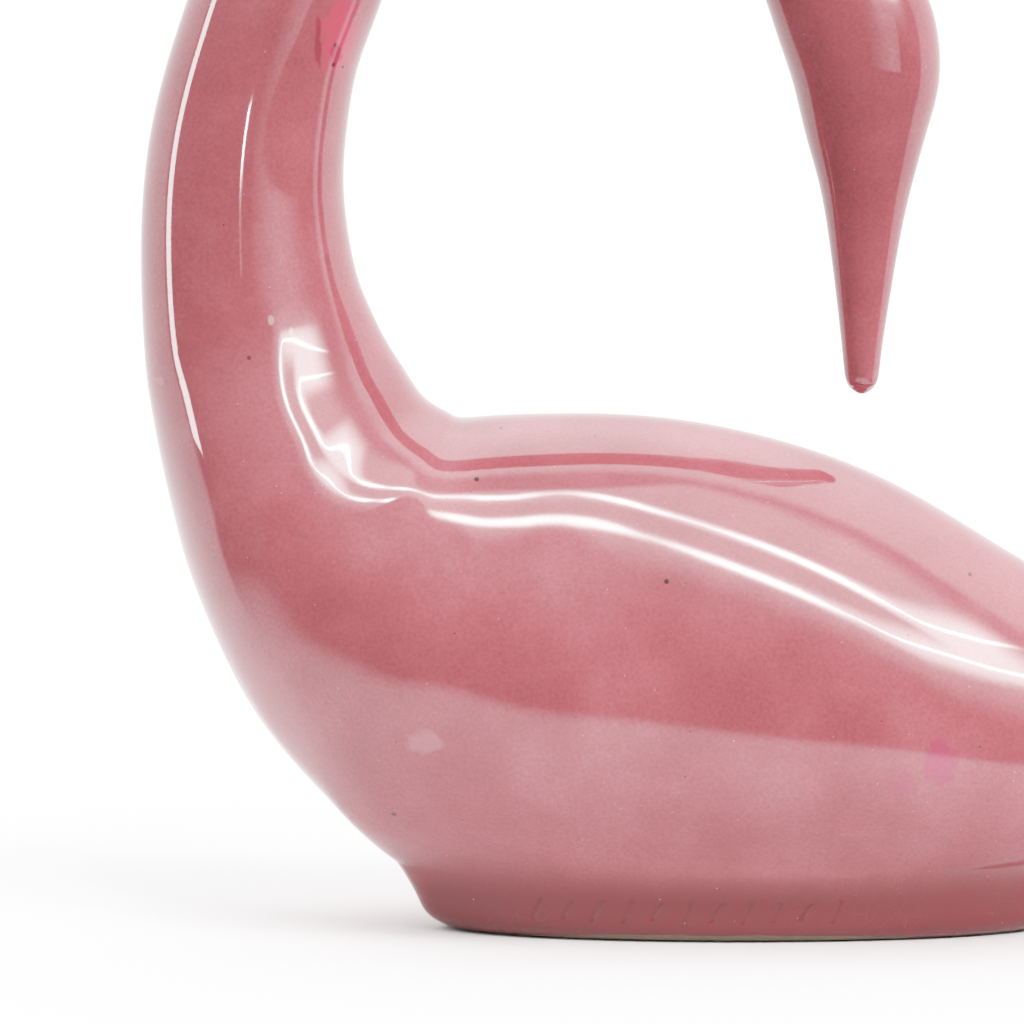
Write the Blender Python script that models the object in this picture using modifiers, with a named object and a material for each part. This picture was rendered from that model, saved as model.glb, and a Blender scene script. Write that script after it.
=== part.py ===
"""Glazed ceramic swan, cast in one piece, standing on its own oval foot.

Metres, +Z up, floor at z = 0, origin at the centre of the foot's flat underside. The swan faces -X.
Its skin is a cage of rings that runs from the tail over the back, up the neck, round the arch and down
to the bill. The foot is pulled out of the belly, and subdivision makes the whole skin smooth.
"""

import math
from collections import namedtuple

import bmesh
import bpy
from mathutils import Vector

# Driving sizes
SWAN_HEIGHT = 0.305
BODY_WIDTH = 0.099
FOOT_LENGTH = 0.154
FOOT_WIDTH = 0.050
FOOT_HEIGHT = 0.0155

# The sections below are drawn in millimetres, for a swan of this height and width.
DRAWN_HEIGHT = 305.0
DRAWN_WIDTH = 99.0
SCALE = SWAN_HEIGHT / DRAWN_HEIGHT
WIDTH_SCALE = BODY_WIDTH / DRAWN_WIDTH

RING_POINTS = 16
KEEL_POINT = RING_POINTS // 2
FOOT_REACH = 2  # ring points on each side of the keel that the foot is pulled from
SMOOTHING_LEVELS = 1
FIT_ROUNDS = 12

GLAZE_COLOR = (0.62, 0.17, 0.20, 1.0)
GLAZE_ROUGHNESS = 0.08

# A section lies between two points of the side view. Its widest line sags below the middle by a share of
# the half height, its points gather towards the keel where the foot is pulled out, and it is fuller in its
# back half where full is above 0, or pinched there where it is below 0.
Section = namedtuple("Section", "keel back half_width sag gather full", defaults=(0.0, 0.0, 0.0))

# From the tail over the body and up the neck, with the keel and then the front of the neck as first point
BODY_SECTIONS = [
    Section((147.0, 60.5), (146.0, 69.0), 5.0),
    Section((138.0, 53.5), (136.0, 70.0), 11.0),
    Section((121.5, 41.5), (117.0, 73.5), 20.5, 0.05, 0.10),
    Section((93.5, 20.5), (87.5, 83.5), 32.8, 0.12, 0.20),
    Section((64.5, 12.5), (61.0, 98.0), 42.4, 0.12),
    Section((34.5, 12.0), (33.0, 114.0), 46.6, 0.15, 0.05),
    Section((0.0, 12.0), (2.0, 124.5), 48.5, 0.16, 0, 0.01),
    Section((-34.0, 12.0), (-26.0, 129.0), 49.1, 0.12, 0.05, 0.02),
    Section((-64.0, 13.0), (-49.0, 129.5), 49.4, 0.09, 0.17, 0.04),
    Section((-92.5, 21.0), (-63.0, 129.0), 48.9, 0.06, 0.58, 0.055),
    Section((-111.5, 40.5), (-71.0, 128.5), 46.7, 0.09, 0.30, 0.085),
    Section((-126.5, 61.5), (-74.5, 130.0), 43.5, 0.13, 0.10, 0.06),
    Section((-137.5, 86.5), (-80.0, 133.5), 41.5, 0.09, 0, -0.09),
    Section((-142.0, 101.5), (-85.0, 140.5), 38.3, 0.03, 0, -0.18),
    Section((-145.5, 116.5), (-90.0, 148.5), 32.7, -0.05, 0, -0.27),
    Section((-148.3, 131.5), (-94.3, 157.5), 28.0, -0.05, 0, -0.20),
    Section((-150.0, 146.5), (-97.5, 167.0), 25.2, -0.02, 0, -0.08),
    Section((-150.5, 176.5), (-100.0, 185.0), 23.4),
    Section((-147.0, 205.0), (-99.0, 202.0), 22.6),
    Section((-140.5, 227.5), (-96.5, 215.5), 22.0),
    Section((-135.0, 242.5), (-92.0, 228.0), 21.2),
]
FOOT_FIRST, FOOT_LAST = 3, 9  # places in this list of the sections that bound the foot

# Foot from its root to inside its flat underside: share of foot length, width and height
FOOT_LOOPS = [
    (1.132, 1.26, 1.06),
    (1.076, 1.11, 0.60),
    (1.036, 1.05, 0.24),
    (0.984, 0.955, 0.00),
    (0.935, 0.80, 0.00),
]

# The neck's arch: its inner side is part of an ellipse, and the neck thins along it.
ARCH_CENTRE = (-42.9, 212.3)
ARCH_RADII = (51.0, 57.6)
ARCH_FROM, ARCH_TO = math.radians(147), math.radians(36)
ARCH_SECTIONS = 8
ARCH_THICKNESS = (43.6, 31.0)
ARCH_HALF_WIDTH = (20.2, 14.6)
ARCH_THINNING = 1.6

# From the nape down to the bill's tip, with the crown as first point and the throat as second
HEAD_SECTIONS = [
    Section((37.0, 244.5), (4.5, 232.5), 15.0),
    Section((45.5, 231.5), (8.0, 222.0), 16.2),
    Section((48.0, 215.0), (11.5, 211.5), 16.2),
    Section((45.5, 202.0), (14.5, 199.5), 13.8),
    Section((41.5, 187.5), (18.0, 187.0), 10.8),
    Section((38.5, 174.0), (20.5, 173.5), 8.4),
    Section((36.0, 159.0), (22.5, 158.5), 6.6),
    Section((34.0, 145.5), (24.0, 145.5), 5.2),
    Section((33.0, 138.0), (25.0, 138.0), 4.3),
]
END_BULGE = 3.6  # how far the tail's and the bill's ends are domed


def clear_scene():
    for obj in list(bpy.data.objects):
        bpy.data.objects.remove(obj, do_unlink=True)


def arch_sections():
    """Sections round the arch, thinner towards the head."""
    centre = Vector(ARCH_CENTRE)
    sections = []
    for step in range(ARCH_SECTIONS):
        share = step / (ARCH_SECTIONS - 1)
        turn = ARCH_FROM + (ARCH_TO - ARCH_FROM) * share
        across, up = math.cos(turn), math.sin(turn)
        inner = centre + Vector((ARCH_RADII[0] * across, ARCH_RADII[1] * up))
        outward = Vector((across / ARCH_RADII[0], up / ARCH_RADII[1])).normalized()
        still_thick = (1 - share) ** ARCH_THINNING
        outer = inner + outward * between(ARCH_THICKNESS, still_thick)
        sections.append(Section(tuple(outer), tuple(inner), between(ARCH_HALF_WIDTH, still_thick)))
    return sections


def between(start_and_end, share_of_start):
    start, end = start_and_end
    return end + (start - end) * share_of_start


def ring_points(section):
    """Points of one section, from the back round to the keel and up the other side."""
    keel = Vector((section.keel[0], 0, section.keel[1])) * SCALE
    back = Vector((section.back[0], 0, section.back[1])) * SCALE
    middle, half_height = (keel + back) / 2, (back - keel) / 2
    points = []
    for k in range(RING_POINTS):
        turn = 2 * math.pi * k / RING_POINTS
        turn += section.gather * math.sin(turn) * (1 - math.cos(turn)) / 2
        point = middle + half_height * (math.cos(turn) - section.sag * math.sin(turn) ** 2)
        point.y = section.half_width * math.sin(turn) * (1 + section.full * math.cos(turn)) * WIDTH_SCALE
        points.append(point)
    return points


def add_ring(cage, section, index):
    """A circle of cage points, drawn out to the section's shape and numbered."""
    station = cage.verts.layers.int["station"]
    sector = cage.verts.layers.int["sector"]
    ring = bmesh.ops.create_circle(cage, segments=RING_POINTS, radius=1.0)["verts"]
    for k, (vert, point) in enumerate(zip(ring, ring_points(section))):
        vert.co = point
        vert[station] = index
        vert[sector] = k
    return ring


def ring_edges(ring):
    return [edge for edge in {e for v in ring for e in v.link_edges} if set(edge.verts) <= set(ring)]


def close_end(cage, ring, neighbour):
    """Fills the last ring with a small grid of faces and domes it away from its neighbour."""
    quarter = RING_POINTS // 4
    sides = []
    for edge in ring_edges(ring):
        first, second = (ring.index(vert) for vert in edge.verts)
        middle = (first + second) / 2 if abs(first - second) == 1 else 0
        if quarter / 2 < middle % (2 * quarter) < 3 * quarter / 2:
            sides.append(edge)
    before = set(cage.verts)
    bmesh.ops.grid_fill(cage, edges=sides)
    middle = ring_middle(ring)
    outward = (ring[0].co - middle).cross(ring[quarter].co - middle).normalized()
    if outward.dot(middle - ring_middle(neighbour)) < 0:
        outward.negate()
    reach = max((vert.co - middle).length for vert in ring)
    for vert in set(cage.verts) - before:
        dome = 1 - ((vert.co - middle).length / reach) ** 2
        vert.co += outward * END_BULGE * SCALE * dome


def ring_middle(ring):
    return sum((vert.co for vert in ring), Vector()) / len(ring)


def pull_out_foot(cage):
    """Extrudes the belly down to the floor: a flared wall, a rounded edge and a flat underside."""
    station = cage.verts.layers.int["station"]
    sector = cage.verts.layers.int["sector"]
    middle_station = (FOOT_FIRST + FOOT_LAST) / 2
    half_stations = (FOOT_LAST - FOOT_FIRST) / 2
    belly = [
        face for face in cage.faces
        if all(FOOT_FIRST <= v[station] <= FOOT_LAST and abs(v[sector] - KEEL_POINT) <= FOOT_REACH
               for v in face.verts)
    ]
    flat = set()
    for length_share, width_share, height_share in FOOT_LOOPS:
        made = bmesh.ops.extrude_face_region(cage, geom=belly)["geom"]
        bmesh.ops.delete(cage, geom=belly, context="FACES")
        belly = [g for g in made if isinstance(g, bmesh.types.BMFace)]
        moved = {v for face in belly for v in face.verts}
        if height_share == 0.0:
            flat = flat | moved
        for vert in moved:
            u = (middle_station - vert[station]) / half_stations
            v = (vert[sector] - KEEL_POINT) / FOOT_REACH
            vert.co = (
                FOOT_LENGTH / 2 * length_share * u * math.sqrt(1 - v * v / 2),
                -FOOT_WIDTH / 2 * width_share * v * math.sqrt(1 - u * u / 2),
                FOOT_HEIGHT * height_share,
            )
    return flat


def build_cage():
    """The swan's cage, and the indices of the points that lie flat on the floor."""
    cage = bmesh.new()
    cage.verts.layers.int.new("station")
    cage.verts.layers.int.new("sector")
    rings = []
    for index, section in enumerate(BODY_SECTIONS + arch_sections() + HEAD_SECTIONS):
        ring = add_ring(cage, section, index)
        if rings:
            bmesh.ops.bridge_loops(cage, edges=ring_edges(rings[-1]) + ring_edges(ring))
        rings.append(ring)
    close_end(cage, rings[0], rings[1])
    close_end(cage, rings[-1], rings[-2])
    flat = pull_out_foot(cage)
    bmesh.ops.recalc_face_normals(cage, faces=cage.faces)
    cage.verts.index_update()
    return cage, {v.index for v in flat if v.is_valid}


def fit_skin(obj, resting):
    """Pushes the cage outwards until the smoothed skin passes through the drawn points."""
    drawn = [v.co.copy() for v in obj.data.vertices]
    for _ in range(FIT_ROUNDS):
        bpy.context.view_layer.update()
        skin = obj.evaluated_get(bpy.context.evaluated_depsgraph_get()).data
        reached = [skin.vertices[i].co.copy() for i in range(len(drawn))]
        for vert, goal, now in zip(obj.data.vertices, drawn, reached):
            if vert.index not in resting:
                vert.co += goal - now
        obj.data.update()


def glaze_material():
    glaze = bpy.data.materials.new("pink_glaze")
    glaze.use_nodes = True
    shader = glaze.node_tree.nodes["Principled BSDF"]
    shader.inputs["Base Color"].default_value = GLAZE_COLOR
    shader.inputs["Roughness"].default_value = GLAZE_ROUGHNESS
    shader.inputs["Metallic"].default_value = 0.0
    return glaze


def make_swan(collection):
    cage, resting = build_cage()
    mesh = bpy.data.meshes.new("swan")
    cage.to_mesh(mesh)
    cage.free()
    mesh.shade_smooth()
    mesh.materials.append(glaze_material())
    swan = bpy.data.objects.new("swan", mesh)
    collection.objects.link(swan)
    smoothing = swan.modifiers.new("smooth skin", "SUBSURF")
    smoothing.levels = SMOOTHING_LEVELS
    smoothing.render_levels = SMOOTHING_LEVELS
    fit_skin(swan, resting)
    return swan


def main():
    clear_scene()
    collection = bpy.data.collections.new("ceramic_swan")
    bpy.context.scene.collection.children.link(collection)
    make_swan(collection)


main()
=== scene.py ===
import math
from collections import namedtuple

import bmesh
import bpy
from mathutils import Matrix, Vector, kdtree


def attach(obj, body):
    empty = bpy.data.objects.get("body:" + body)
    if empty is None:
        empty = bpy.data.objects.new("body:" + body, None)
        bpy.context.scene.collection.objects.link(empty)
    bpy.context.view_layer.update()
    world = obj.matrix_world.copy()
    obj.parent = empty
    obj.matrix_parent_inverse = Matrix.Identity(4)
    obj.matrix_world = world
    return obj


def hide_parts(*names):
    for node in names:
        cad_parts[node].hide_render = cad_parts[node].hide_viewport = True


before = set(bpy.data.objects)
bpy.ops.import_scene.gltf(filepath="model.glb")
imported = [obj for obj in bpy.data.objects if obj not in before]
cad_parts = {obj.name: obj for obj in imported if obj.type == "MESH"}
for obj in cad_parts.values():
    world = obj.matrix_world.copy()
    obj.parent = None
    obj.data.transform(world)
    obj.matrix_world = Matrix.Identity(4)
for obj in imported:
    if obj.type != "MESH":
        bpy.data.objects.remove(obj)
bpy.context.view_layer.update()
print("frame loaded:", sorted(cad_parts))

mm = 0.001  # metres


def linearColour(hexText):
    # sRGB hex to the linear values that shaders want
    parts = [int(hexText[i:i + 2], 16) / 255 for i in (1, 3, 5)]
    return tuple(p / 12.92 if p <= 0.04045 else ((p + 0.055) / 1.055) ** 2.4 for p in parts) + (1.0,)


def addNode(tree, kind, settings=None, links=None):
    # settings name the node's own properties or its inputs, links name the inputs to join
    node = tree.nodes.new(kind)
    for name, value in (settings or {}).items():
        if isinstance(name, int) or name in node.inputs:
            node.inputs[name].default_value = value
        else:
            setattr(node, name, value)
    for name, source in (links or {}).items():
        tree.links.new(source, node.inputs[name])
    return node


def newMaterial(name):
    material = bpy.data.materials.new(name)
    material.use_nodes = True
    material.node_tree.nodes.clear()
    return material, material.node_tree


def newObject(name, bm):
    mesh = bpy.data.meshes.new(name)
    bm.to_mesh(mesh)
    bm.free()
    mesh.shade_smooth()
    obj = bpy.data.objects.new(name, mesh)
    bpy.context.scene.collection.objects.link(obj)
    return obj


# The swan's skin: rings from the tail over the body, up the neck, round the arch and down to the bill.
# Each section lies between two points of the side view, in millimetres.
Section = namedtuple("Section", "keel back halfWidth sag gather full", defaults=(0.0, 0.0, 0.0))

swanForm = {
    "ringPoints": 16,
    "footReach": 2,  # ring points each side of the keel that the foot is pulled from
    "footSections": (3, 9),
    "fitRounds": 12,
    "smoothLevels": 3,
    "finestLevels": 5,  # only in the patches below, on the near side, where long reflections run
    "fineCuts": 3,
    "finePatches": [
        ((-140.0, -60.0, 99.0), (-58.0, -5.0, 155.0)),
        ((-58.0, -60.0, 90.0), (6.0, -18.0, 124.0)),
        ((6.0, -60.0, 66.0), (78.0, -18.0, 114.0)),
    ],
    "endBulge": 3.6,
    "body": [
        Section((147.0, 60.5), (146.0, 69.0), 5.0),
        Section((138.0, 53.5), (136.0, 70.0), 11.0),
        Section((121.5, 41.5), (117.0, 73.5), 20.5, 0.05, 0.10),
        Section((93.5, 20.5), (87.5, 83.5), 32.8, 0.12, 0.20),
        Section((64.5, 12.5), (61.0, 98.0), 42.4, 0.12),
        Section((34.5, 12.0), (33.0, 114.0), 46.6, 0.15, 0.05),
        Section((0.0, 12.0), (2.0, 124.5), 48.5, 0.16, 0, 0.01),
        Section((-34.0, 12.0), (-26.0, 129.0), 49.1, 0.12, 0.05, 0.02),
        Section((-64.0, 13.0), (-49.0, 129.5), 49.4, 0.09, 0.17, 0.04),
        Section((-92.5, 21.0), (-63.0, 129.0), 48.9, 0.06, 0.58, 0.055),
        Section((-111.5, 40.5), (-71.0, 128.5), 46.7, 0.09, 0.30, 0.085),
        Section((-126.5, 61.5), (-74.5, 130.0), 43.5, 0.13, 0.10, 0.06),
        Section((-137.5, 86.5), (-80.0, 133.5), 41.5, 0.09, 0, -0.09),
        Section((-142.0, 101.5), (-85.0, 140.5), 38.3, 0.03, 0, -0.18),
        Section((-145.5, 116.5), (-90.0, 148.5), 32.7, -0.05, 0, -0.27),
        Section((-148.3, 131.5), (-94.3, 157.5), 28.0, -0.05, 0, -0.20),
        Section((-150.0, 146.5), (-97.5, 167.0), 25.2, -0.02, 0, -0.08),
        Section((-150.5, 176.5), (-100.0, 185.0), 23.4),
        Section((-147.0, 205.0), (-99.0, 202.0), 22.6),
        Section((-140.5, 227.5), (-96.5, 215.5), 22.0),
        Section((-135.0, 242.5), (-92.0, 228.0), 21.2),
    ],
    "arch": {
        "centre": (-42.9, 212.3),
        "radii": (51.0, 57.6),
        "fromDegrees": 147,
        "toDegrees": 36,
        "sections": 8,
        "thickness": (43.6, 31.0),
        "halfWidth": (20.2, 14.6),
        "thinning": 1.6,
    },
    "head": [
        Section((37.0, 244.5), (4.5, 232.5), 15.0),
        Section((45.5, 231.5), (8.0, 222.0), 16.2),
        Section((48.0, 215.0), (11.5, 211.5), 16.2),
        Section((45.5, 202.0), (14.5, 199.5), 13.8),
        Section((41.5, 187.5), (18.0, 187.0), 10.8),
        Section((38.5, 174.0), (20.5, 173.5), 8.4),
        Section((36.0, 159.0), (22.5, 158.5), 6.6),
        Section((34.0, 145.5), (24.0, 145.5), 5.2),
        Section((33.0, 138.0), (25.0, 138.0), 4.3),
    ],
    "footLength": 154.0,
    "footWidth": 50.0,
    "footHeight": 15.5,
    "footLoops": [  # share of foot length, width and height
        (1.132, 1.26, 1.06),
        (1.076, 1.11, 0.60),
        (1.036, 1.05, 0.24),
        (0.984, 0.955, 0.00),
        (0.935, 0.80, 0.00),
    ],
}


def between(startAndEnd, shareOfStart):
    start, end = startAndEnd
    return end + (start - end) * shareOfStart


def archSections(arch):
    sections = []
    for step in range(arch["sections"]):
        share = step / (arch["sections"] - 1)
        turn = math.radians(arch["fromDegrees"] + (arch["toDegrees"] - arch["fromDegrees"]) * share)
        across, up = math.cos(turn), math.sin(turn)
        inner = Vector(arch["centre"]) + Vector((arch["radii"][0] * across, arch["radii"][1] * up))
        outward = Vector((across / arch["radii"][0], up / arch["radii"][1])).normalized()
        stillThick = (1 - share) ** arch["thinning"]
        outer = inner + outward * between(arch["thickness"], stillThick)
        sections.append(Section(tuple(outer), tuple(inner), between(arch["halfWidth"], stillThick)))
    return sections


def ringPoints(section, count):
    keel = Vector((section.keel[0], 0, section.keel[1])) * mm
    back = Vector((section.back[0], 0, section.back[1])) * mm
    middle, halfHeight = (keel + back) / 2, (back - keel) / 2
    points = []
    for k in range(count):
        turn = 2 * math.pi * k / count
        turn += section.gather * math.sin(turn) * (1 - math.cos(turn)) / 2
        point = middle + halfHeight * (math.cos(turn) - section.sag * math.sin(turn) ** 2)
        point.y = section.halfWidth * mm * math.sin(turn) * (1 + section.full * math.cos(turn))
        points.append(point)
    return points


def ringEdges(ring):
    return [edge for edge in {e for v in ring for e in v.link_edges} if set(edge.verts) <= set(ring)]


def ringMiddle(ring):
    return sum((v.co for v in ring), Vector()) / len(ring)


def closeEnd(bm, ring, neighbour, form):
    # a small grid of faces fills the last ring and is domed away from its neighbour
    quarter = form["ringPoints"] // 4
    sides = []
    for edge in ringEdges(ring):
        first, second = (ring.index(v) for v in edge.verts)
        place = (first + second) / 2 if abs(first - second) == 1 else 0
        if quarter / 2 < place % (2 * quarter) < 3 * quarter / 2:
            sides.append(edge)
    before = set(bm.verts)
    bmesh.ops.grid_fill(bm, edges=sides)
    middle = ringMiddle(ring)
    outward = (ring[0].co - middle).cross(ring[quarter].co - middle).normalized()
    if outward.dot(middle - ringMiddle(neighbour)) < 0:
        outward.negate()
    reach = max((v.co - middle).length for v in ring)
    for vert in set(bm.verts) - before:
        vert.co += outward * form["endBulge"] * mm * (1 - ((vert.co - middle).length / reach) ** 2)


def pullOutFoot(bm, form):
    # the belly is extruded down to the floor, loop by loop
    station = bm.verts.layers.int["station"]
    sector = bm.verts.layers.int["sector"]
    keelPoint = form["ringPoints"] // 2
    first, last = form["footSections"]

    def overFoot(vert):
        return first <= vert[station] <= last and abs(vert[sector] - keelPoint) <= form["footReach"]

    belly = [face for face in bm.faces if all(overFoot(v) for v in face.verts)]
    resting = set()
    for lengthShare, widthShare, heightShare in form["footLoops"]:
        made = bmesh.ops.extrude_face_region(bm, geom=belly)["geom"]
        bmesh.ops.delete(bm, geom=belly, context="FACES")
        belly = [g for g in made if isinstance(g, bmesh.types.BMFace)]
        moved = {v for face in belly for v in face.verts}
        if heightShare == 0.0:
            resting |= moved
        for vert in moved:
            u = ((first + last) / 2 - vert[station]) / ((last - first) / 2)
            v = (vert[sector] - keelPoint) / form["footReach"]
            vert.co = (
                form["footLength"] * mm / 2 * lengthShare * u * math.sqrt(1 - v * v / 2),
                -form["footWidth"] * mm / 2 * widthShare * v * math.sqrt(1 - u * u / 2),
                form["footHeight"] * mm * heightShare,
            )
    return resting


def swanCage(form):
    bm = bmesh.new()
    station = bm.verts.layers.int.new("station")
    sector = bm.verts.layers.int.new("sector")
    rings = []
    for index, section in enumerate(form["body"] + archSections(form["arch"]) + form["head"]):
        ring = bmesh.ops.create_circle(bm, segments=form["ringPoints"], radius=1.0)["verts"]
        for k, (vert, point) in enumerate(zip(ring, ringPoints(section, form["ringPoints"]))):
            vert.co = point
            vert[station] = index
            vert[sector] = k
        if rings:
            bmesh.ops.bridge_loops(bm, edges=ringEdges(rings[-1]) + ringEdges(ring))
        rings.append(ring)
    closeEnd(bm, rings[0], rings[1], form)
    closeEnd(bm, rings[-1], rings[-2], form)
    resting = pullOutFoot(bm, form)
    bmesh.ops.recalc_face_normals(bm, faces=bm.faces)
    bm.verts.index_update()
    return bm, {v.index for v in resting if v.is_valid}


def fitSkin(obj, resting, rounds):
    # pushes the cage out until the smoothed skin passes through the drawn points
    drawn = [v.co.copy() for v in obj.data.vertices]
    for _ in range(rounds):
        bpy.context.view_layer.update()
        skin = obj.evaluated_get(bpy.context.evaluated_depsgraph_get()).data
        reached = [skin.vertices[i].co.copy() for i in range(len(drawn))]
        for vert, goal, now in zip(obj.data.vertices, drawn, reached):
            if vert.index not in resting:
                vert.co += goal - now
        obj.data.update()


def smoothedMesh(obj, smooth, levels):
    smooth.levels = smooth.render_levels = levels
    return bpy.data.meshes.new_from_object(obj.evaluated_get(bpy.context.evaluated_depsgraph_get()))


def makeSkin(form):
    # returns the swan and a tree of the finest skin's points
    bm, resting = swanCage(form)
    swan = newObject("swan_glazed", bm)
    smooth = swan.modifiers.new("smooth skin", "SUBSURF")
    smooth.levels = smooth.render_levels = 1
    fitSkin(swan, resting, form["fitRounds"])
    fine, finest = [smoothedMesh(swan, smooth, form[levels]) for levels in ("smoothLevels", "finestLevels")]
    swan.modifiers.clear()
    swan.data = fine
    fine.name = "swan_glazed"
    nearest = kdtree.KDTree(len(finest.vertices))
    for vert in finest.vertices:
        nearest.insert(vert.co, vert.index)
    nearest.balance()
    bpy.data.meshes.remove(finest)
    return swan, nearest


def within(patch, point, margin=0.0):
    return all(low * mm - margin <= c <= high * mm + margin for low, high, c in zip(*patch, point))


def refine(bm, patches, nearest, cuts, border=4 * mm):
    # splits the faces of some patches and sets their corners on the finest skin
    faces = [f for f in bm.faces if any(within(patch, f.calc_center_median()) for patch in patches)]
    edges = list({e for f in faces for e in f.edges})
    bmesh.ops.subdivide_edges(bm, edges=edges, cuts=cuts, use_grid_fill=True)
    for vert in bm.verts:
        if any(within(patch, vert.co, border) for patch in patches):
            vert.co = nearest.find(vert.co)[0]


# A row of soft strokes pressed into the foot before glazing, in millimetres along and up its near wall.
footStrokes = {
    "patch": ((-56.0, -40.0, 3.4), (26.0, -5.0, 12.4)),
    "start": -52.0,
    "step": 7.4,
    "height": 8.0,
    "strokes": [  # lean and length of each
        (1.0, 4.6), (0.8, 3.4), (1.2, 4.2), (0.9, 4.9), (1.1, 3.2), (0.7, 4.4), (1.3, 3.8), (1.0, 4.8),
        (0.8, 4.0), (1.2, 3.3), (0.9, 4.7),
    ],
    "halfWidth": 0.9,
    "depth": 0.42,
    "endNarrows": 0.9,
    "cuts": 3,
    "longestEdge": 0.55,
}


def pressStrokes(bm, settings, nearest):
    patch = settings["patch"]
    refine(bm, [patch], nearest, settings["cuts"])
    tooLong = [
        e for e in bm.edges
        if e.calc_length() > settings["longestEdge"] * mm and all(within(patch, v.co) for v in e.verts)
    ]
    bmesh.ops.subdivide_edges(bm, edges=tooLong, cuts=1, use_grid_fill=True)
    bm.normal_update()
    pressed = []
    for vert in (v for v in bm.verts if within(patch, v.co)):
        x, z = vert.co.x / mm, vert.co.z / mm
        for k, (lean, length) in enumerate(settings["strokes"]):
            along = (z - settings["height"]) / (length / 2)
            beyond = max(abs(along) - 1, 0) * length / 2
            side = x - settings["start"] - k * settings["step"] - lean * along
            if beyond > 0:
                side *= settings["endNarrows"]
            away = math.hypot(side, beyond) / settings["halfWidth"]
            if away < 1:
                pressed.append((vert, vert.normal * settings["depth"] * mm * (1 - away ** 2) ** 2))
    for vert, push in pressed:
        vert.co -= push


def detailSkin(obj, form, strokes, nearest):
    bm = bmesh.new()
    bm.from_mesh(obj.data)
    refine(bm, form["finePatches"], nearest, form["fineCuts"])
    pressStrokes(bm, strokes, nearest)
    bm.to_mesh(obj.data)
    bm.free()
    obj.data.shade_smooth()


swan, finestSkin = makeSkin(swanForm)
detailSkin(swan, swanForm, footStrokes, finestSkin)
print("swan skin:", len(swan.data.polygons), "faces")


# Glazed earthenware: slip-cast buff clay under a dipped glaze. The glaze gives a glassy shine over a milky
# pink that clouds from place to place, with a fine grain, pinholes and specks, and stops short of the clay at
# the foot. Sizes are in millimetres.
glaze = {
    "pink": "#9c5157",
    "deepPink": "#954b51",
    "milkyPink": "#a35a60",
    "speckPink": "#bd898e",
    "pit": "#5b2b2c",
    "clay": "#86735f",
    "clayDark": "#66553f",
    "roughness": 0.05,
    "clayRoughness": 0.85,
    "ior": 1.65,
    "sizes": {
        "clouds": 26.0,
        "grain": 0.9,  # real mottling is about 0.3 mm, drawn coarser so that it shows at 0.25 mm a pixel
        "waves": 11.0,  # slow waves in the glaze's surface
        "peel": 1.3,  # orange peel, at its real size
        "pinholes": 8.0,
        "specks": 4.6,
        "craze": 4.5,  # the net of hairlines
        "ragged": 3.0,  # in the edges of blemishes
        "drift": 14.0,  # in the line where the glaze stops
    },
    "radii": {
        "specks": 0.22,  # drawn twice as wide as real ones so that they show
        "pinholes": 0.30,
    },
    "dotCore": 0.4,  # share of the radius that is full
    "relief": {"waves": 0.010, "peel": 0.0011},
    "pinholeDepth": 0.06,
    "cloudStops": (0.34, 0.5, 0.68),
    "grainRange": (0.3, 0.7),
    "grainStrength": 0.22,
    "hairline": 0.05,  # half its width, twice the real one so that it shows
    "hairlineStrength": 0.1,
    "crazedClouds": (0.52, 0.62),  # hairlines come in where the clouding is this milky
    "footShadeAndPool": (25.0, 9.0),  # painted shade near the foot: the colour is drawn deeper from this height down to this one, for the shade under the belly's overhang, partly for glaze pooled thicker there
    "footShadeAndPoolTint": (0.53, 0.2, 0.23),
    "raggedReach": 3.0,
    "blemishCore": 0.55,
    "glazeLine": 0.75,  # mean height at which the glaze stops on the foot
    "glazeLineWander": 0.9,
    "glazeLineSoftness": 0.12,
    "glazeThickness": 0.12,
    "lowSpot": ((-10.0, -26.0), (78.0, 16.0)),  # place and size of a bay where more clay shows
    "lowSpotRise": 1.6,
    "lowSpotEdge": (1.0, 0.2),
}

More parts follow.
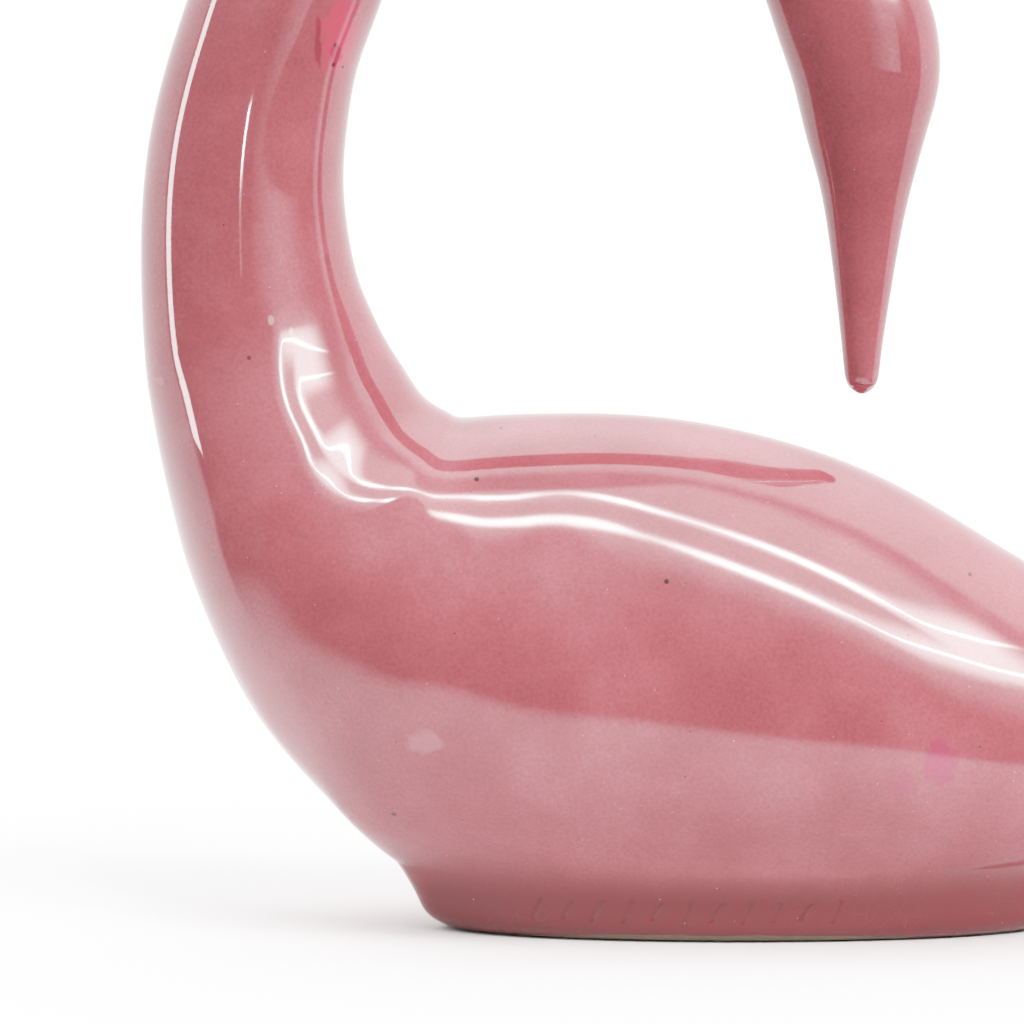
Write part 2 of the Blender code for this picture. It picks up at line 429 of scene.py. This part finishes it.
# Touched-up places and blemishes of this one swan: place, size, colour, how full the colour is and how ragged
# its edge is.
blemishes = [
    ((-101.0, -13.5, 224.0), (6.4, 9.0, 12.5), "#c24e5f", 0.85, 0.4),
    ((-105.8, -17.2, 222.5), (1.1, 3.0, 8.5), "#7e2a35", 0.65, 0.5),
    ((-101.2, -15.0, 218.8), (2.3, 2.5, 3.0), "#9a2f3e", 0.7, 0.5),
    ((46.3, -44.3, 48.0), (5.5, 5.0, 7.5), "#a83e5c", 0.5, 0.5),
    ((37.5, -45.0, 43.0), (3.0, 3.0, 4.0), "#a83e5c", 0.3, 0.6),
    ((-144.9, -15.0, 138.8), (2.6, 3.0, 1.3), "#c06572", 0.6, 0.5),
    ((-117.3, -24.9, 154.6), (1.0, 1.4, 1.6), "#b09284", 0.75, 0.12),
    ((-112.4, -24.2, 151.8), (0.8, 1.2, 1.3), "#b09284", 0.7, 0.12),
    ((-79.0, -44.5, 53.2), (6.0, 4.5, 3.6), "#c08a90", 0.28, 0.25),
    ((-102.2, -14.7, 216.7), (0.7, 0.9, 0.7), "#4a2528", 0.9, 0.3),
    ((-99.9, -11.6, 216.1), (0.5, 0.8, 0.5), "#4a2528", 0.9, 0.3),
    ((-101.7, -15.5, 221.6), (0.5, 0.8, 0.7), "#5a2a30", 0.9, 0.3),
    ((-66.9, -31.7, 116.1), (0.8, 1.2, 0.8), "#33191a", 1.0, 0.1),
    ((-20.7, -43.3, 92.2), (0.8, 1.2, 0.8), "#33191a", 1.0, 0.1),
    ((-61.0, -13.0, 126.8), (0.75, 1.2, 0.6), "#4a2a28", 1.0, 0.1),
    ((-37.8, -16.5, 125.1), (0.75, 1.2, 0.6), "#4a2a28", 1.0, 0.1),
    ((54.2, -25.2, 91.8), (0.85, 1.2, 0.7), "#4a2a28", 1.0, 0.1),
    ((-87.3, -32.3, 33.4), (0.9, 1.2, 0.6), "#4a2a28", 0.9, 0.2),
    ((-122.6, -27.8, 145.5), (0.7, 1.2, 0.7), "#4a2528", 0.9, 0.1),
    ((-103.8, -14.8, 168.7), (1.6, 2.0, 1.8), "#874352", 0.5, 0.3),
]


def glazedEarthenware(settings, spots):
    material, tree = newMaterial("glazed_earthenware")
    place = addNode(tree, "ShaderNodeTexCoord").outputs["Object"]
    parts = addNode(tree, "ShaderNodeSeparateXYZ", links={0: place})
    sizes = settings["sizes"]
    perMetre = {name: 1 / (size * mm) for name, size in sizes.items()}

    # colour: slow clouds, then a fine grain
    clouds = addNode(tree, "ShaderNodeTexNoise", {
        "Scale": perMetre["clouds"], "Detail": 4.0, "Roughness": 0.55,
    }, {0: place})
    grain = addNode(tree, "ShaderNodeTexNoise", {"Scale": perMetre["grain"], "Detail": 2.0}, {0: place})
    tones = addNode(tree, "ShaderNodeValToRGB", links={0: clouds.outputs[0]})
    stops = tones.color_ramp.elements
    lowest, middle, highest = settings["cloudStops"]
    stops[0].position, stops[0].color = lowest, linearColour(settings["deepPink"])
    stops[1].position, stops[1].color = highest, linearColour(settings["milkyPink"])
    stops.new(middle).color = linearColour(settings["pink"])
    grainTone = addNode(tree, "ShaderNodeMapRange", {
        "From Min": settings["grainRange"][0], "From Max": settings["grainRange"][1],
        "To Min": 1 - settings["grainStrength"] / 2, "To Max": 1 + settings["grainStrength"] / 2,
    }, {"Value": grain.outputs[0]})
    colour = addNode(tree, "ShaderNodeVectorMath", {"operation": "SCALE"}, {
        0: tones.outputs[0], "Scale": grainTone.outputs[0],
    }).outputs[0]

    # painted shade: near the foot, under the belly's overhang, the colour is drawn deeper; partly this is
    # glaze that pools thicker there
    footShadeAndPool = addNode(tree, "ShaderNodeMapRange", {
        "interpolation_type": "SMOOTHSTEP",
        "From Min": settings["footShadeAndPool"][0] * mm, "From Max": settings["footShadeAndPool"][1] * mm,
    }, {"Value": parts.outputs["Z"]})
    shadedPoolColour = [part * tint for part, tint in zip(linearColour(settings["deepPink"]), settings["footShadeAndPoolTint"])]
    colour = addNode(tree, "ShaderNodeMix", {"data_type": "RGBA", 7: (*shadedPoolColour, 1)}, {
        0: footShadeAndPool.outputs[0], 6: colour,
    }).outputs[2]

    # hairlines in patches, pale specks, then pinholes
    net = addNode(tree, "ShaderNodeTexVoronoi", {
        "feature": "DISTANCE_TO_EDGE", "Scale": perMetre["craze"],
    }, {0: place})
    hairline = addNode(tree, "ShaderNodeMapRange", {
        "From Min": settings["hairline"] / sizes["craze"], "From Max": 0.0,
        "To Max": settings["hairlineStrength"],
    }, {"Value": net.outputs["Distance"]})
    crazed = addNode(tree, "ShaderNodeMapRange", {
        "interpolation_type": "SMOOTHSTEP",
        "From Min": settings["crazedClouds"][0], "From Max": settings["crazedClouds"][1],
    }, {"Value": clouds.outputs[0]})
    hairlines = addNode(tree, "ShaderNodeMath", {"operation": "MULTIPLY"}, {
        0: hairline.outputs[0], 1: crazed.outputs[0],
    })
    colour = addNode(tree, "ShaderNodeMix", {"data_type": "RGBA", 7: linearColour(settings["speckPink"])}, {
        0: hairlines.outputs[0], 6: colour,
    }).outputs[2]
    dots = {}
    for name, tone in (("specks", "speckPink"), ("pinholes", "pit")):
        edge = settings["radii"][name] / sizes[name]
        cells = addNode(tree, "ShaderNodeTexVoronoi", {"Scale": perMetre[name]}, {0: place})
        dots[name] = addNode(tree, "ShaderNodeMapRange", {
            "interpolation_type": "SMOOTHSTEP", "From Min": edge, "From Max": settings["dotCore"] * edge,
        }, {"Value": cells.outputs["Distance"]}).outputs[0]
        colour = addNode(tree, "ShaderNodeMix", {"data_type": "RGBA", 7: linearColour(settings[tone])}, {
            0: dots[name], 6: colour,
        }).outputs[2]

    # blemishes: soft ellipsoids with ragged edges
    ragged = addNode(tree, "ShaderNodeTexNoise", {"Scale": perMetre["ragged"], "Detail": 3.0}, {0: place})
    for at, size, tone, fullness, raggedness in spots:
        wanders = settings["raggedReach"] * raggedness
        inside = addNode(tree, "ShaderNodeVectorMath", {
            "operation": "MULTIPLY_ADD",
            1: tuple(1 / (side * mm) for side in size),
            2: tuple(-where / side for where, side in zip(at, size)),
        }, {0: place})
        reach = addNode(tree, "ShaderNodeVectorMath", {"operation": "LENGTH"}, {0: inside.outputs[0]})
        edge = addNode(tree, "ShaderNodeMath", {"operation": "MULTIPLY_ADD", 1: -wanders}, {
            0: ragged.outputs[0], 2: reach.outputs["Value"],
        })
        mask = addNode(tree, "ShaderNodeMapRange", {
            "interpolation_type": "SMOOTHSTEP", "To Max": fullness,
            "From Min": 1.0 - wanders / 2, "From Max": settings["blemishCore"] - wanders / 2,
        }, {"Value": edge.outputs[0]})
        colour = addNode(tree, "ShaderNodeMix", {"data_type": "RGBA", 7: linearColour(tone)}, {
            0: mask.outputs[0], 6: colour,
        }).outputs[2]

    # bare clay: the glaze stops at a wandering line on the foot, higher in one bay
    (lowX, lowY), (lowLength, lowWidth) = settings["lowSpot"]
    bay = addNode(tree, "ShaderNodeVectorMath", {
        "operation": "MULTIPLY_ADD",
        1: (1 / (lowLength * mm), 1 / (lowWidth * mm), 0.0),
        2: (-lowX / lowLength, -lowY / lowWidth, 0.0),
    }, {0: place})
    bayReach = addNode(tree, "ShaderNodeVectorMath", {"operation": "LENGTH"}, {0: bay.outputs[0]})
    bayRise = addNode(tree, "ShaderNodeMapRange", {
        "interpolation_type": "SMOOTHSTEP", "To Max": settings["lowSpotRise"],
        "From Min": settings["lowSpotEdge"][0], "From Max": settings["lowSpotEdge"][1],
    }, {"Value": bayReach.outputs["Value"]})
    drift = addNode(tree, "ShaderNodeTexNoise", {"Scale": perMetre["drift"], "Detail": 2.0}, {0: place})
    wander = addNode(tree, "ShaderNodeMath", {"operation": "MULTIPLY_ADD", 1: settings["glazeLineWander"]}, {
        0: drift.outputs[0], 2: bayRise.outputs[0],
    })
    glazeLine = addNode(tree, "ShaderNodeMath", {
        "operation": "ADD", 1: settings["glazeLine"] - settings["glazeLineWander"],
    }, {0: wander.outputs[0]})
    rise = addNode(tree, "ShaderNodeMath", {"operation": "MULTIPLY", 1: 1 / mm}, {0: parts.outputs["Z"]})
    under = addNode(tree, "ShaderNodeMath", {"operation": "SUBTRACT"}, {
        0: glazeLine.outputs[0], 1: rise.outputs[0],
    })
    bare = addNode(tree, "ShaderNodeMapRange", {
        "interpolation_type": "SMOOTHSTEP",
        "From Min": -settings["glazeLineSoftness"], "From Max": settings["glazeLineSoftness"],
    }, {"Value": under.outputs[0]}).outputs[0]
    clayTone = addNode(tree, "ShaderNodeMix", {
        "data_type": "RGBA", 6: linearColour(settings["clay"]), 7: linearColour(settings["clayDark"]),
    }, {0: grain.outputs[0]})
    colour = addNode(tree, "ShaderNodeMix", {"data_type": "RGBA"}, {
        0: bare, 6: colour, 7: clayTone.outputs[2],
    }).outputs[2]
    roughness = addNode(tree, "ShaderNodeMapRange", {
        "To Min": settings["roughness"], "To Max": settings["clayRoughness"],
    }, {"Value": bare})

    # relief, in millimetres: waves and orange peel, pits at the pinholes, and the step down to the clay
    height = None
    for name, tall in settings["relief"].items():
        noise = addNode(tree, "ShaderNodeTexNoise", {"Scale": perMetre[name], "Detail": 1.0}, {0: place})
        height = addNode(tree, "ShaderNodeMath", {"operation": "MULTIPLY_ADD", 1: tall, 2: 0.0}, {
            0: noise.outputs[0], **({2: height.outputs[0]} if height else {}),
        })
    for mask, depth in ((dots["pinholes"], settings["pinholeDepth"]), (bare, settings["glazeThickness"])):
        height = addNode(tree, "ShaderNodeMath", {"operation": "MULTIPLY_ADD", 1: -depth}, {
            0: mask, 2: height.outputs[0],
        })
    relief = addNode(tree, "ShaderNodeBump", {"Distance": mm}, {"Height": height.outputs[0]})

    shader = addNode(tree, "ShaderNodeBsdfPrincipled", {"IOR": settings["ior"]}, {
        "Base Color": colour, "Roughness": roughness.outputs[0], "Normal": relief.outputs[0],
    })
    addNode(tree, "ShaderNodeOutputMaterial", links={"Surface": shader.outputs["BSDF"]})
    return material


swan.data.materials.clear()
swan.data.materials.append(glazedEarthenware(glaze, blemishes))
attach(swan, "root")
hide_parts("swan")


# Floor and world: a white sweep behind and below, a dim room in front, and a softbox with two lamp tubes in
# it. Directions are in degrees: azimuth 0 is towards the camera, positive to its right.
studio = {
    "floorSize": 12.0,
    "floorDrop": 0.0002,
    "table": ("#f3f3f3", "#e8e8e8"),  # as the camera sees it, and as the swan sees it
    "paperRoughness": 0.9,
    "paperShine": 0.1,
    "tableEdge": (0.22, 0.34),  # metres from the swan's middle over which the lit table ends
    "white": 3.2,  # what the camera sees behind the swan
    "room": (0.22, 1.3),  # brightness of the dim room, level and overhead
    "roomHeights": (2.0, 45.0),  # over which it brightens
    "sweep": (2.1, 4.0),
    "sweepHeights": (25.0, 60.0),
    "sweepLean": 0.07,  # the sweep reaches a little further round on the right
    "sweepEdge": (-0.07, 0.05),  # where the room gives way to the sweep, 0 is straight to the side
    "softboxBright": 2.8,
    "softboxSides": ((10.0, 12.0), (75.0, 55.0)),  # azimuths from dark to full, left and right
    "softboxTop": (78.0, 75.0),
    "softboxFoot": (-26.0, -3.0),  # below the lower tube
    "tubes": [
        {"turnsAt": (15.5, 42.0), "heights": (75.0, 42.0), "hot": (22.5, 32.7)},
        {"turnsAt": (9.0, 29.5), "heights": (61.5, 33.0), "hot": (12.9, 20.6)},
    ],
    "tubeHalf": (0.15, 0.65),
    "tubeBright": 52.0,
    "tubeSoftens": (14.0, 34.0, 0.12),  # the tubes fade to this share over these azimuths
    "glowReach": 9.0,
    "glowBright": 14.0,
    "hotReach": 5.5,
    "hotBright": 34.0,
}


def makeFloor(settings):
    bm = bmesh.new()
    bmesh.ops.create_grid(bm, x_segments=1, y_segments=1, size=settings["floorSize"] / 2)
    bmesh.ops.translate(bm, verts=bm.verts, vec=(0, 0, -settings["floorDrop"]))
    floor = newObject("floor", bm)
    material, tree = newMaterial("white_paper")
    seen = addNode(tree, "ShaderNodeLightPath")
    shown, thrown = (linearColour(tone) for tone in settings["table"])
    place = addNode(tree, "ShaderNodeTexCoord")
    paper = addNode(tree, "ShaderNodeMix", {"data_type": "RGBA", 6: thrown, 7: shown}, {
        0: seen.outputs["Is Camera Ray"],
    })
    shader = addNode(tree, "ShaderNodeBsdfPrincipled", {
        "Roughness": settings["paperRoughness"], "Specular IOR Level": settings["paperShine"],
    }, {"Base Color": paper.outputs[2]})
    away = addNode(tree, "ShaderNodeVectorMath", {"operation": "LENGTH"}, {0: place.outputs["Object"]})
    fade = addNode(tree, "ShaderNodeMapRange", {
        "interpolation_type": "SMOOTHSTEP",
        "From Min": settings["tableEdge"][0],
        "From Max": settings["tableEdge"][1],
    }, {"Value": away.outputs["Value"]})
    beyond = addNode(tree, "ShaderNodeBsdfTransparent")
    sweep = addNode(tree, "ShaderNodeMixShader", links={
        0: fade.outputs[0], 1: shader.outputs[0], 2: beyond.outputs[0],
    })
    addNode(tree, "ShaderNodeOutputMaterial", links={"Surface": sweep.outputs[0]})
    floor.data.materials.append(material)


def makeWorld(settings):
    world = bpy.data.worlds.new("studio")
    world.use_nodes = True
    bpy.context.scene.world = world
    tree = world.node_tree
    tree.nodes.clear()
    direction = addNode(tree, "ShaderNodeTexCoord")
    parts = addNode(tree, "ShaderNodeSeparateXYZ", links={0: direction.outputs["Generated"]})
    forward = addNode(tree, "ShaderNodeMath", {"operation": "MULTIPLY", 1: -1.0}, {0: parts.outputs["Y"]})
    turned = addNode(tree, "ShaderNodeMath", {"operation": "ARCTAN2"}, {
        0: parts.outputs["X"], 1: forward.outputs[0],
    })
    azimuth = addNode(tree, "ShaderNodeMath", {"operation": "DEGREES"}, {0: turned.outputs[0]})
    up = addNode(tree, "ShaderNodeMath", {"operation": "ARCSINE"}, {0: parts.outputs["Z"]})
    height = addNode(tree, "ShaderNodeMath", {"operation": "DEGREES"}, {0: up.outputs[0]})

    # white sweep behind and dim room in front, both brighter overhead
    sweep, room = [
        addNode(tree, "ShaderNodeMapRange", {
            "interpolation_type": "SMOOTHSTEP",
            "From Min": settings[name + "Heights"][0], "From Max": settings[name + "Heights"][1],
            "To Min": settings[name][0], "To Max": settings[name][1],
        }, {"Value": height.outputs[0]})
        for name in ("sweep", "room")
    ]
    lean = addNode(tree, "ShaderNodeMath", {"operation": "MULTIPLY_ADD", 1: settings["sweepLean"]}, {
        0: parts.outputs["X"], 2: parts.outputs["Y"],
    })
    behind = addNode(tree, "ShaderNodeMapRange", {
        "interpolation_type": "SMOOTHSTEP",
        "From Min": settings["sweepEdge"][0], "From Max": settings["sweepEdge"][1],
    }, {"Value": lean.outputs[0], "To Min": room.outputs[0], "To Max": sweep.outputs[0]})

    # softbox: its tubes, their glow and hot spots, inside soft edges
    total = None
    softFrom, softTo, softShare = settings["tubeSoftens"]
    softens = addNode(tree, "ShaderNodeMapRange", {
        "interpolation_type": "SMOOTHSTEP", "From Min": softFrom, "From Max": softTo, "To Min": softShare,
    }, {"Value": azimuth.outputs[0]})
    for tube in settings["tubes"]:
        path = addNode(tree, "ShaderNodeMapRange", {
            "interpolation_type": "SMOOTHSTEP",
            "From Min": tube["turnsAt"][0], "From Max": tube["turnsAt"][1],
            "To Min": tube["heights"][0], "To Max": tube["heights"][1],
        }, {"Value": azimuth.outputs[0]})
        above = addNode(tree, "ShaderNodeMath", {"operation": "SUBTRACT"}, {
            0: height.outputs[0], 1: path.outputs[0],
        })
        away = addNode(tree, "ShaderNodeMath", {"operation": "ABSOLUTE"}, {0: above.outputs[0]})
        shines = [
            (away, settings["tubeHalf"], settings["tubeBright"], True),
            (away, (0.0, settings["glowReach"]), settings["glowBright"], True),
        ]
        place = addNode(tree, "ShaderNodeCombineXYZ", links={0: azimuth.outputs[0], 1: above.outputs[0]})
        for hot in tube["hot"]:
            apart = addNode(tree, "ShaderNodeVectorMath", {"operation": "DISTANCE", 1: (hot, 0.0, 0.0)}, {
                0: place.outputs[0],
            })
            shines.append((apart, (0.0, settings["hotReach"]), settings["hotBright"], False))
        for distance, reach, bright, fades in shines:
            shine = addNode(tree, "ShaderNodeMapRange", {
                "interpolation_type": "SMOOTHERSTEP",
                "From Min": reach[0], "From Max": reach[1], "To Min": bright, "To Max": 0.0,
            }, {"Value": distance.outputs["Value"]})
            if fades:
                shine = addNode(tree, "ShaderNodeMath", {"operation": "MULTIPLY"}, {
                    0: shine.outputs[0], 1: softens.outputs[0],
                })
            total = addNode(tree, "ShaderNodeMath", {"operation": "ADD", 0: settings["softboxBright"]}, {
                1: shine.outputs[0], **({0: total.outputs[0]} if total else {}),
            })
    left, right = settings["softboxSides"]
    edges = [
        (azimuth, left), (azimuth, right), (height, settings["softboxTop"]),
        (above, settings["softboxFoot"]),  # measured from the lower tube
    ]
    for measure, reach in edges:
        edge = addNode(tree, "ShaderNodeMapRange", {
            "interpolation_type": "SMOOTHSTEP", "From Min": reach[0], "From Max": reach[1],
        }, {"Value": measure.outputs[0]})
        total = addNode(tree, "ShaderNodeMath", {"operation": "MULTIPLY"}, {
            0: total.outputs[0], 1: edge.outputs[0],
        })

    lit = addNode(tree, "ShaderNodeMath", {"operation": "ADD"}, {0: behind.outputs[0], 1: total.outputs[0]})
    seen = addNode(tree, "ShaderNodeLightPath")
    pick = addNode(tree, "ShaderNodeMix", {"data_type": "FLOAT", 3: settings["white"]}, {
        0: seen.outputs["Is Camera Ray"], 2: lit.outputs[0],
    })
    light = addNode(tree, "ShaderNodeBackground", {"Color": (1, 1, 1, 1)}, {"Strength": pick.outputs[0]})
    addNode(tree, "ShaderNodeOutputWorld", links={"Surface": light.outputs[0]})


# Lamps: azimuth, elevation and distance as seen from a point on the neck, size and brightness. The two small
# ones stand level and their spread, in degrees, keeps their beams off the body.
lampsAim = Vector((-0.117, -0.023, 0.192))
lamps = {
    "leftStrip": {
        "azimuth": -88, "elevation": 14, "distance": 0.36, "size": (0.045, 0.285), "bright": 15,
    },
    "neckCard": {
        "azimuth": 37, "elevation": 10, "distance": 0.35, "size": (0.36, 0.13), "bright": 0.21,
        "tilt": 0, "spread": 60,
    },
    "neckSlit": {
        "azimuth": -3, "elevation": 2.5, "distance": 0.35, "size": (0.014, 0.016), "bright": 0.2,
        "tilt": 0, "spread": 12,
    },
}


def makeLamps(plan, target):
    for name, place in plan.items():
        azimuth, elevation = math.radians(place["azimuth"]), math.radians(place["elevation"])
        tilt = math.radians(place.get("tilt", place["elevation"]))
        flat = math.cos(elevation)
        away = Vector((math.sin(azimuth) * flat, -math.cos(azimuth) * flat, math.sin(elevation)))
        light = bpy.data.lights.new(name, "AREA")
        light.shape = "RECTANGLE"
        light.size, light.size_y = place["size"]
        light.energy = place["bright"] * math.pi * light.size * light.size_y
        light.spread = math.radians(place.get("spread", 180))
        lamp = bpy.data.objects.new(name, light)
        bpy.context.scene.collection.objects.link(lamp)
        lamp.location = target + away * place["distance"]
        lamp.rotation_euler = (math.pi / 2 - tilt, 0, azimuth)
        lamp.visible_camera = False


makeFloor(studio)
makeWorld(studio)
makeLamps(lamps, lampsAim)
print("studio lit")


# Camera: just above the swan's middle, looking along +Y as in the photograph
view = {
    "aim": (-0.05825, 0.0, 0.1048),
    "distance": 1.5,
    "elevation": 5.75,
    "frameWidth": 0.256,  # metres across the frame at the aim point
    "sensor": 36.0,
    "clip": (0.01, 50.0),
    "whiteAt": 3.0,  # scene brightness that comes out as paper white
    "tones": [(0.067, 0.2), (0.167, 0.455), (0.367, 0.73), (0.6, 0.91)],  # film-like, with soft highlights
}


def makeCamera(settings):
    data = bpy.data.cameras.new("camera")
    data.sensor_width = settings["sensor"]
    data.lens = settings["sensor"] * settings["distance"] / settings["frameWidth"]
    data.clip_start, data.clip_end = settings["clip"]
    camera = bpy.data.objects.new("camera", data)
    bpy.context.scene.collection.objects.link(camera)
    elevation = math.radians(settings["elevation"])
    away = Vector((0, -math.cos(elevation), math.sin(elevation)))
    camera.location = Vector(settings["aim"]) + away * settings["distance"]
    camera.rotation_euler = (math.pi / 2 - elevation, 0, 0)
    bpy.context.scene.camera = camera


def setTones(settings, look):
    look.view_transform = "Standard"
    look.use_curve_mapping = True
    look.curve_mapping.white_level = (settings["whiteAt"],) * 3
    combined = look.curve_mapping.curves[3]
    for place in settings["tones"]:
        combined.points.new(*place)
    look.curve_mapping.update()


makeCamera(view)
setTones(view, bpy.context.scene.view_settings)
print("camera set")
